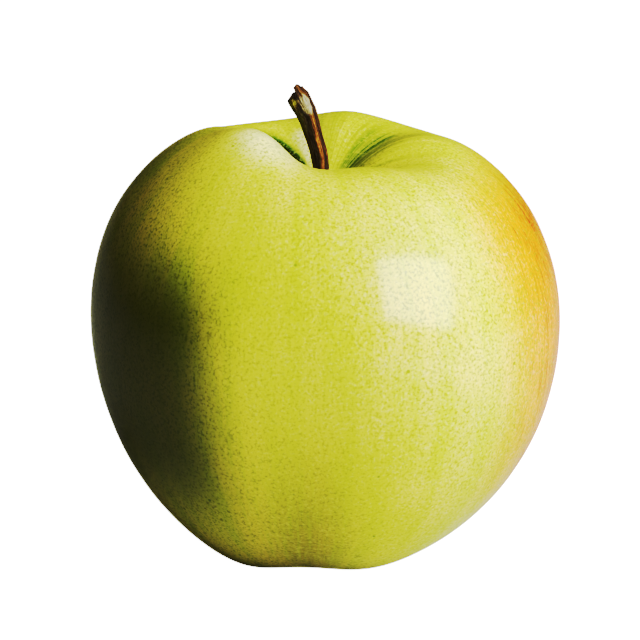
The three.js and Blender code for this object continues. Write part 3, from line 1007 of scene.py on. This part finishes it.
def bark_finish(colours):
    """The bark of the stalk: dark brown furrows, ridges with a painted highlight along the front crest and
    the right rim, and the other marks that its mesh keeps.
    """
    material, tree, shader = new_finish("stalk_bark")
    flecks, streaks = fleck_group(), streak_group()
    here = object_coordinates(tree)
    place = attribute_of(tree, "stalk_place")
    grain = mask_of(tree, streaks, Place=place, Across=9.0, Along=5.0, Detail=4.0, Low=0.38, High=0.64)
    specks = mask_of(tree, flecks, Vector=here, Scale=1700.0, Detail=3.0, Low=0.42, High=0.62)
    blots = mask_of(tree, flecks, Vector=here, Scale=700.0, Detail=3.0, Low=0.42, High=0.64)
    on_ridge = (mask_kept(tree, "ridge") * 0.7 + grain * 0.35).ease(0.15, 0.95)
    highlit = (mask_kept(tree, "highlit") * (0.45 + grain * 0.55)).ease(0.3, 0.85) * (1.0 - specks * 0.55)
    layers = [
        # Painted highlight along the front crest and the right rim.
        (highlit * 0.85, colours.ridge),
        (mask_kept(tree, "olive").ease(0.25, 0.8) * (1.0 - specks * 0.6) * 0.8, colours.olive),
        (mask_kept(tree, "lichen").ease(0.3, 0.8) * (1.0 - blots * 0.75) * 0.9, colours.lichen),
        (mask_kept(tree, "grey_highlight").ease(0.35, 0.85) * (1.0 - specks * 0.25) * 0.92, colours.grey_highlight),
        (mask_kept(tree, "torn") * (0.25 + blots * 0.5), colours.ridge),
    ]
    base = layered(tree, mixed(tree, on_ridge, colours.furrow, colours.bark), layers)
    feed(tree, shader.inputs["Base Color"], base)
    feed(tree, shader.inputs["Roughness"], 0.62 + specks * 0.2)
    shader.inputs["Specular IOR Level"].default_value = 0.4
    relief = grain * 0.8 + specks * 0.5 + blots * 0.3
    bumped(tree, shader, relief, 0.09 * MM)
    return material


class APPLE_OT_shape_stalk(bpy.types.Operator):
    """Makes the stalk, with its ridged bark, its knob and its broken end"""

    bl_idname = "apple.shape_stalk"
    bl_label = "Shape the stalk"

    def execute(self, context):
        mesh = stalk_mesh(bark_finish(context.scene.apple.stalk))
        moved_points(mesh, (AXIS_X + ENDS_X, AXIS_Y, WAIST_LEVEL + CAVITY_FLOOR))
        stalk = bpy.data.objects.new("stalk", mesh)
        context.scene.collection.objects.link(stalk)
        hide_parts("stem")
        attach(stalk, "root")
        return {"FINISHED"}


def scattered(tree, part, count, seed, tilt, turn_jitter, least_size):
    """Copies of a part round the axis, each turned, tilted and sized a little by chance."""
    points = add_node(tree, "GeometryNodePoints", {"Count": count}).outputs[0]
    index = Value(tree, tree.nodes.new("GeometryNodeInputIndex").outputs[0])

    def chance(low, high, number):
        node = add_node(tree, "FunctionNodeRandomValue", data_type="FLOAT")
        for socket in node.inputs:
            if socket.enabled and socket.name in ("Min", "Max", "Seed"):
                socket.default_value = {"Min": low, "Max": high, "Seed": seed + number}[socket.name]
        return Value(tree, next(socket for socket in node.outputs if socket.enabled))

    turn = index * (TURN / count) + chance(-turn_jitter, turn_jitter, 1)
    angles = vector_of(tree, 0.0, chance(-tilt, tilt, 2), turn)
    rotation = add_node(tree, "FunctionNodeEulerToRotation", {"Euler": angles}).outputs[0]
    size = chance(least_size, 1.0, 3)
    scale = vector_of(tree, size, size, size)
    inputs = {"Points": points, "Instance": part, "Rotation": rotation, "Scale": scale}
    copies = add_node(tree, "GeometryNodeInstanceOnPoints", inputs).outputs[0]
    return add_node(tree, "GeometryNodeRealizeInstances", {"Geometry": copies}).outputs[0]


def crinkled(tree, geometry, scale, depth, seed):
    """The geometry with its points pushed about by smooth noise."""
    here = tree.nodes.new("GeometryNodeInputPosition").outputs[0]
    moved = add_node(tree, "ShaderNodeVectorMath", operation="ADD")
    feed(tree, moved.inputs[0], here)
    moved.inputs[1].default_value = (seed, seed, seed)
    noisy = add_node(tree, "ShaderNodeTexNoise", {"Vector": moved.outputs[0], "Scale": scale, "Detail": 2.0})
    centred = add_node(tree, "ShaderNodeVectorMath", operation="SUBTRACT")
    feed(tree, centred.inputs[0], noisy.outputs["Color"])
    centred.inputs[1].default_value = (0.5, 0.5, 0.5)
    push = add_node(tree, "ShaderNodeVectorMath", operation="SCALE")
    feed(tree, push.inputs[0], centred.outputs[0])
    feed(tree, push.inputs["Scale"], depth)
    inputs = {"Geometry": geometry, "Offset": push.outputs[0]}
    return add_node(tree, "GeometryNodeSetPosition", inputs).outputs[0]


def hung_in_eye(tree, geometry):
    """The geometry moved from the origin to the roof of the basin."""
    move = add_node(tree, "GeometryNodeTransform", {"Geometry": geometry})
    move.inputs["Translation"].default_value = (AXIS_X + ENDS_X, AXIS_Y, WAIST_LEVEL + BASIN_ROOF)
    return move.outputs[0]


def sepal_tree(sizes, material):
    """One pointed, cupped blade that leans in and curls out again, repeated round the eye."""
    tree, size = shape_tree("apple_sepals", sizes)
    grid, turned, up = wrapped_grid(tree, 26, 34)
    around = turned * TURN
    left = 1.0 - up
    closed = up.ease(0.0, 0.04)
    half = size["Sepal width"] * 0.5 * left ** 0.75 * (1.0 + (up * 3.0).sin() * 0.25) * closed
    thick = size["Sepal thickness"] * 0.5 * left ** 0.5 * closed
    lean = size["Lean in"] * ((up * 1.4).at_most(1.0) * math.pi).sin()
    radius = size["Root radius"] - lean + size["Curl out"] * up ** 2.6
    side = around.cos()
    veins = (side * 9.0).cos() * size["Sepal thickness"] * 0.14 * left
    cup = side * side * half * 0.45
    face = around.sin() * thick + veins + cup
    height = (up * -1.0 * (1.0 - up ** 3.0 * 0.12)) * size["Sepal length"] + size["Sepal length"] * 0.1
    blade = stored(tree, grid, "blade_place", "FLOAT_VECTOR", vector_of(tree, side, 0.0, up))
    blade = placed(tree, blade, vector_of(tree, radius + face, side * half, height))
    ring_of = scattered(tree, blade, count=5, seed=4, tilt=0.12, turn_jitter=0.1, least_size=0.88)
    crumpled = crinkled(tree, ring_of, 420.0, 0.9 * MM, 0.37)
    close_tree(tree, hung_in_eye(tree, crumpled), material)
    return tree


def thread_tree(sizes, material):
    """The dried threads of the flower that are left in the eye, each with a small head."""
    tree, size = shape_tree("apple_threads", sizes)
    grid, turned, up = wrapped_grid(tree, 8, 14)
    around = turned * TURN
    head = ((up - 0.9) / 0.07) ** 2.0
    girth = (0.09 * MM + (-head).exp() * (0.16 * MM)) * up.ease(0.0, 0.05) * (1.0 - up).ease(0.0, 0.04)
    reach = size["Sepal length"] * 0.62
    x = size["Root radius"] * 0.62 + around.cos() * girth - (up * 2.6).sin() * (0.5 * MM)
    y = around.sin() * girth + (up * 4.0).sin() * (0.18 * MM)
    place = vector_of(tree, around.cos(), around.sin(), up)
    thread = stored(tree, grid, "blade_place", "FLOAT_VECTOR", place)
    thread = placed(tree, thread, vector_of(tree, x, y, up * -1.0 * reach + 1.2 * MM))
    bunch = scattered(tree, thread, count=18, seed=11, tilt=0.1, turn_jitter=0.16, least_size=0.72)
    crumpled = crinkled(tree, bunch, 600.0, 0.7 * MM, 0.81)
    close_tree(tree, hung_in_eye(tree, crumpled), material)
    return tree


def calyx_finish(colours, name, down_share):
    """The dry brown of the calyx, veined, with pale down."""
    material, tree, shader = new_finish(name)
    flecks, streaks = fleck_group(), streak_group()
    here = object_coordinates(tree)
    place = attribute_of(tree, "blade_place")
    veins = mask_of(tree, streaks, Place=place, Across=5.0, Along=2.0, Detail=3.0, Low=0.4, High=0.66)
    blots = mask_of(tree, flecks, Vector=here, Scale=900.0, Detail=3.0, Low=0.4, High=0.64)
    base = mixed(tree, veins * 0.55 + blots * 0.35, colours.dry, colours.dark)
    down = mask_of(tree, flecks, Vector=here, Scale=2600.0, Detail=3.0, Low=0.48, High=0.66)
    base = mixed(tree, down * down_share, base, colours.down)
    feed(tree, shader.inputs["Base Color"], base)
    feed(tree, shader.inputs["Roughness"], 0.75 + blots * 0.15)
    bumped(tree, shader, veins + down * 0.6, 0.08 * MM)
    return material


class APPLE_OT_dry_calyx(bpy.types.Operator):
    """Makes the dried sepals round the eye and the threads inside it"""

    bl_idname = "apple.dry_calyx"
    bl_label = "Dry the calyx"

    def execute(self, context):
        settings = context.scene.apple
        sizes = labelled(settings.calyx)
        leaf = calyx_finish(settings.dried, "dried_sepal", 0.5)
        sepals = grown("sepals", sepal_tree(sizes, leaf), sizes)
        fibre = calyx_finish(settings.dried, "dried_thread", 0.2)
        threads = grown("eye_threads", thread_tree(sizes, fibre), sizes)
        for piece in (sepals, threads):
            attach(piece, "root")
        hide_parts("calyx")
        return {"FINISHED"}


def floor_finish(settings):
    """A pale floor. The camera sees it evenly white, and it lets a view from below through."""
    material, tree, shader = new_finish("studio_floor")
    bounce = settings.floor_bounce
    shader.inputs["Base Color"].default_value = (bounce, bounce, bounce * 0.96, 1.0)
    shader.inputs["Roughness"].default_value = 0.9
    shader.inputs["Specular IOR Level"].default_value = 0.1
    rays = tree.nodes.new("ShaderNodeLightPath")
    glow = add_node(tree, "ShaderNodeEmission", {"Color": (1.0, 1.0, 1.0, 1.0), "Strength": TONE_WHITE})
    seen = add_node(tree, "ShaderNodeAddShader")
    tree.links.new(shader.outputs[0], seen.inputs[0])
    tree.links.new(glow.outputs[0], seen.inputs[1])
    by_ray = add_node(tree, "ShaderNodeMixShader")
    tree.links.new(rays.outputs["Is Camera Ray"], by_ray.inputs[0])
    tree.links.new(shader.outputs[0], by_ray.inputs[1])
    tree.links.new(seen.outputs[0], by_ray.inputs[2])
    sides = add_node(tree, "ShaderNodeMixShader")
    tree.links.new(tree.nodes.new("ShaderNodeNewGeometry").outputs["Backfacing"], sides.inputs[0])
    tree.links.new(by_ray.outputs[0], sides.inputs[1])
    tree.links.new(tree.nodes.new("ShaderNodeBsdfTransparent").outputs[0], sides.inputs[2])
    tree.links.new(sides.outputs[0], tree.nodes["Material Output"].inputs["Surface"])
    return material


def studio_world(strength):
    """Faint light from all round, which the camera sees as white."""
    world = bpy.data.worlds.new("studio")
    world.use_nodes = True
    tree = world.node_tree
    light = tree.nodes["Background"]
    light.inputs["Color"].default_value = (1.0, 1.0, 1.0, 1.0)
    light.inputs["Strength"].default_value = strength
    white = add_node(tree, "ShaderNodeBackground", {"Color": (1.0, 1.0, 1.0, 1.0), "Strength": TONE_WHITE})
    by_ray = add_node(tree, "ShaderNodeMixShader")
    tree.links.new(tree.nodes.new("ShaderNodeLightPath").outputs["Is Camera Ray"], by_ray.inputs[0])
    tree.links.new(light.outputs[0], by_ray.inputs[1])
    tree.links.new(white.outputs[0], by_ray.inputs[2])
    tree.links.new(by_ray.outputs[0], tree.nodes["World Output"].inputs["Surface"])
    return world


def aimed(thing, at, target):
    """Puts a light or the camera at a place, turned to look at a target."""
    thing.location = at
    thing.rotation_mode = "QUATERNION"
    thing.rotation_quaternion = (Vector(target) - Vector(at)).to_track_quat("-Z", "Y")


def softbox(name, width, height, watts, direction, roll=0.0):
    """A soft light that looks at the fruit from a direction, and that the camera can't see."""
    box = bpy.data.lights.new(name, "AREA")
    box.shape = "RECTANGLE"
    box.size = width
    box.size_y = height
    box.energy = watts
    box.color = KEY_COLOUR
    light = bpy.data.objects.new(name, box)
    light.visible_camera = False
    bpy.context.scene.collection.objects.link(light)
    middle = Vector(FRUIT_MIDDLE)
    reach = bpy.context.scene.apple.studio.light_distance
    aimed(light, middle + Vector(direction).normalized() * reach, middle)
    light.rotation_quaternion = light.rotation_quaternion @ Quaternion((0, 0, 1), roll)
    return light


def toned(view):
    """Sets the contrast of the picture: deep shadows, and highlights that fade softly into white."""
    view.view_transform = "Standard"
    view.use_curve_mapping = True
    mapping = view.curve_mapping
    mapping.white_level = (TONE_WHITE, TONE_WHITE, TONE_WHITE)
    points = mapping.curves[3].points
    for number, (light, shown) in enumerate(TONE_CURVE):
        if 0 < number < len(TONE_CURVE) - 1:
            points.new(light / TONE_WHITE, shown)
    mapping.update()


class APPLE_OT_light_studio(bpy.types.Operator):
    """Makes the floor, the softboxes, the faint light from all round and the camera"""

    bl_idname = "apple.light_studio"
    bl_label = "Light the studio"

    def execute(self, context):
        settings = context.scene.apple.studio
        scene = context.scene

        sheet = bmesh.new()
        bmesh.ops.create_grid(sheet, x_segments=8, y_segments=8, size=FLOOR_HALF_WIDTH)
        mesh = bpy.data.meshes.new("floor")
        sheet.to_mesh(mesh)
        sheet.free()
        mesh.materials.append(floor_finish(settings))
        moved_points(mesh, (0.0, 0.0, -FLOOR_GAP))
        floor = bpy.data.objects.new("floor", mesh)
        scene.collection.objects.link(floor)

        size = settings.fill_size
        softbox("key", settings.key_width, settings.key_height, settings.key_watts, KEY_DIRECTION, KEY_ROLL)
        fill = softbox("fill", size, size, settings.fill_watts, FILL_DIRECTION)
        left = softbox("left", size, size, settings.left_watts, LEFT_DIRECTION)
        fill.visible_glossy = left.visible_glossy = False  # the skin mirrors the one in front only

        lens = bpy.data.cameras.new("camera")
        lens.sensor_fit = "HORIZONTAL"
        lens.sensor_width = 36.0
        lens.lens = settings.lens
        lens.clip_start = 0.01
        lens.clip_end = 20.0
        camera = bpy.data.objects.new("camera", lens)
        scene.collection.objects.link(camera)
        rise = math.radians(settings.camera_elevation)
        back = Vector((0.0, -math.cos(rise), math.sin(rise)))
        aimed(camera, Vector(CAMERA_AIM) + back * settings.camera_distance, CAMERA_AIM)
        scene.camera = camera

        scene.world = studio_world(settings.sky)
        toned(scene.view_settings)
        return {"FINISHED"}


class AppleSettings(bpy.types.PropertyGroup):
    """All the sizes and colours of the apple and its studio."""

    fruit: PointerProperty(type=FruitSizes)
    skin: PointerProperty(type=SkinColours)
    stalk: PointerProperty(type=StalkColours)
    calyx: PointerProperty(type=CalyxSizes)
    dried: PointerProperty(type=CalyxColours)
    studio: PointerProperty(type=StudioSettings)


class APPLE_PT_panel(bpy.types.Panel):
    """Lists what makes the apple, and its sizes and colours"""

    bl_idname = "APPLE_PT_panel"
    bl_label = "Apple"
    bl_space_type = "VIEW_3D"
    bl_region_type = "UI"
    bl_category = "Apple"

    def draw(self, context):
        settings = context.scene.apple
        for operator in OPERATORS:
            self.layout.operator(operator.bl_idname)
        for name in ("fruit", "skin", "stalk", "calyx", "dried", "studio"):
            group = getattr(settings, name)
            box = self.layout.box()
            box.label(text=name.capitalize())
            for item in group.bl_rna.properties:
                if item.identifier not in ("rna_type", "name"):
                    box.prop(group, item.identifier)


OPERATORS = (APPLE_OT_grow_fruit, APPLE_OT_shape_stalk, APPLE_OT_dry_calyx, APPLE_OT_light_studio)
GROUPS = (FruitSizes, SkinColours, StalkColours, CalyxSizes, CalyxColours, StudioSettings, AppleSettings)


def register():
    for kind in (*GROUPS, *OPERATORS, APPLE_PT_panel):
        bpy.utils.register_class(kind)
    bpy.types.Scene.apple = PointerProperty(type=AppleSettings)


def unregister():
    del bpy.types.Scene.apple
    for kind in (APPLE_PT_panel, *reversed(OPERATORS), *reversed(GROUPS)):
        bpy.utils.unregister_class(kind)


def main():
    register()
    bpy.ops.apple.grow_fruit()
    bpy.ops.apple.shape_stalk()
    bpy.ops.apple.dry_calyx()
    bpy.ops.apple.light_studio()


if __name__ == "__main__":
    main()
